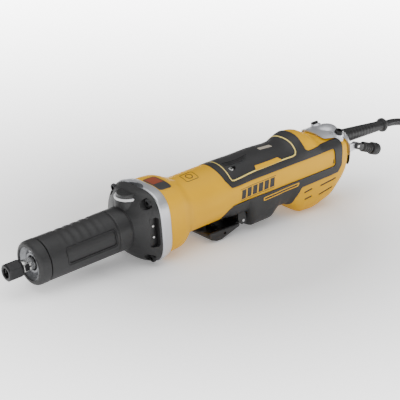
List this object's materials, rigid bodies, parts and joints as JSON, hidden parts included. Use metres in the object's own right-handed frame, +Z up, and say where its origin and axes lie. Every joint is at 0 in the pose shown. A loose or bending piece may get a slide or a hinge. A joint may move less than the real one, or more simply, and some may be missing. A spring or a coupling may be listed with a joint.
{
  "type": "die grinder",
  "caption": "Electric die grinder with a long rubber nose grip, collet nut, spindle lock, two-tone handle, paddle switch, tether and mains cord.",
  "frame": {"origin": "centre of the tool (cord, coil and plug left out) in plan, on the surface that its flange ring and heel rest on", "axes": "+X to the rear along the tool, +Z up; the spindle axis rises 4.8 degrees towards +X because the tool rests nose down"},
  "size_m": [0.7097, 0.1254, 0.09],
  "materials": {
    "housing_yellow": "moulded glass-filled nylon, fine spark-eroded grain, saturated golden yellow",
    "grip_rubber": "soft overmoulded rubber, matt, fine grain",
    "black_nylon": "moulded black glass-filled nylon, low sheen",
    "case_black": "die-cast case with black powder coat",
    "oxide_steel": "black-oxide steel, oiled, low sheen",
    "ground_steel": "turned and ground steel, bright",
    "cast_aluminium": "tumbled die-cast aluminium, satin",
    "winding_copper": "enamelled copper wire, varnished",
    "plug_brass": "stamped brass blades",
    "cord_rubber": "black rubber cord jacket and moulded plug"
  },
  "bodies": {
    "tool": {"front_bearing": "ground_steel", "rear_bearing": "ground_steel", "mid_bearing": "ground_steel", "rotor_bearing": "ground_steel", "bearing_cap": "cast_aluminium", "nose_ring": "grip_rubber", "grip_sleeve": "grip_rubber", "gear_case": "case_black", "lock_bezel": "cast_aluminium", "lock_spring": "ground_steel", "flange_ring": "cast_aluminium", "flange_screw_upper_left": "oxide_steel", "flange_screw_upper_right": "oxide_steel", "flange_screw_lower_left": "oxide_steel", "flange_screw_lower_right": "oxide_steel", "stator_core": "ground_steel", "winding_front": "winding_copper", "winding_rear": "winding_copper", "motor_end_plate": "black_nylon", "housing_left": "housing_yellow", "housing_right": "housing_yellow", "saddle_grip": "grip_rubber", "side_band_left": "grip_rubber", "side_band_right": "grip_rubber", "lower_grip": "grip_rubber", "rear_bracket": "cast_aluminium", "bracket_screw_left": "oxide_steel", "bracket_screw_right": "oxide_steel", "strain_relief": "grip_rubber", "paddle_mount": "black_nylon", "paddle_pin": "ground_steel", "switch_body": "black_nylon", "control_module": "black_nylon", "cord_tube": "cord_rubber", "cord_coil": "cord_rubber", "plug_body": "cord_rubber", "plug_blade_left": "plug_brass", "plug_blade_right": "plug_brass"},
    "spindle": {"spindle": "ground_steel", "lock_hub": "ground_steel", "rotor_shaft": "ground_steel", "rotor_core": "ground_steel", "fan": "black_nylon"},
    "collet": {"collet": "ground_steel"},
    "nut": {"collet_nut": "oxide_steel"},
    "lock_button": {"lock_button": "black_nylon", "lock_pin": "ground_steel"},
    "paddle": {"paddle": "black_nylon", "lever_pin": "ground_steel"},
    "lock_off_lever": {"lock_off_lever": "black_nylon"},
    "plunger": {"switch_plunger": "black_nylon"},
    "tether_clevis": {"tether_clevis": "black_nylon", "tether_pin": "ground_steel"},
    "tether_barrel": {"tether_barrel": "grip_rubber", "tether_cap": "grip_rubber"}
  },
  "joints": [
    {"name": "spindle_spin", "type": "hinge", "parent": "tool", "child": "spindle", "pos_m": [-0.10071, 0, 0.03834], "axis": [0.9965, 0, 0.0837], "continuous": true},
    {"name": "collet_advance", "type": "slide", "parent": "spindle", "child": "collet", "axis": [-0.9965, 0, -0.0837], "range_m": [0, 0.003]},
    {"name": "collet_nut_turn", "type": "hinge", "parent": "collet", "child": "nut", "pos_m": [-0.10071, 0, 0.03834], "axis": [-0.9965, 0, -0.0837], "range_deg": [0, 1080]},
    {"name": "lock_press", "type": "slide", "parent": "tool", "child": "lock_button", "axis": [0.0837, 0, -0.9965], "range_m": [0, 0.0034], "stiffness_N_per_m": 900, "springref_m": -0.003, "deforming": ["lock_spring"]},
    {"name": "paddle_press", "type": "hinge", "parent": "tool", "child": "paddle", "pos_m": [0.02628, 0, 0.01389], "axis": [0, 1, 0], "range_deg": [0, 8]},
    {"name": "lock_off_swing", "type": "hinge", "parent": "paddle", "child": "lock_off_lever", "pos_m": [-0.00024, 0, 0.00705], "axis": [0, -1, 0], "range_deg": [0, 25], "stiffness_Nm_per_rad": 0.02, "springref_deg": -5.73},
    {"name": "plunger_slide", "type": "slide", "parent": "tool", "child": "plunger", "axis": [-0.0837, 0, 0.9965], "range_m": [0, 0.00153], "stiffness_N_per_m": 1500, "springref_m": -0.004},
    {"name": "tether_swing", "type": "hinge", "parent": "tool", "child": "tether_clevis", "pos_m": [0.19625, -0.013, 0.05727], "axis": [0, 1, 0], "range_deg": [-8, 60]},
    {"name": "tether_swivel", "type": "hinge", "parent": "tether_clevis", "child": "tether_barrel", "pos_m": [0.19625, -0.013, 0.05727], "axis": [0.9444, 0, -0.3288], "continuous": true}
  ],
  "couplings": [
    {"joint": "collet_nut_turn", "follows": "collet_advance", "rad_per_m": 6283.2},
    {"joint": "paddle_press", "follows": "plunger_slide", "rad_per_m": 90.9}
  ]
}
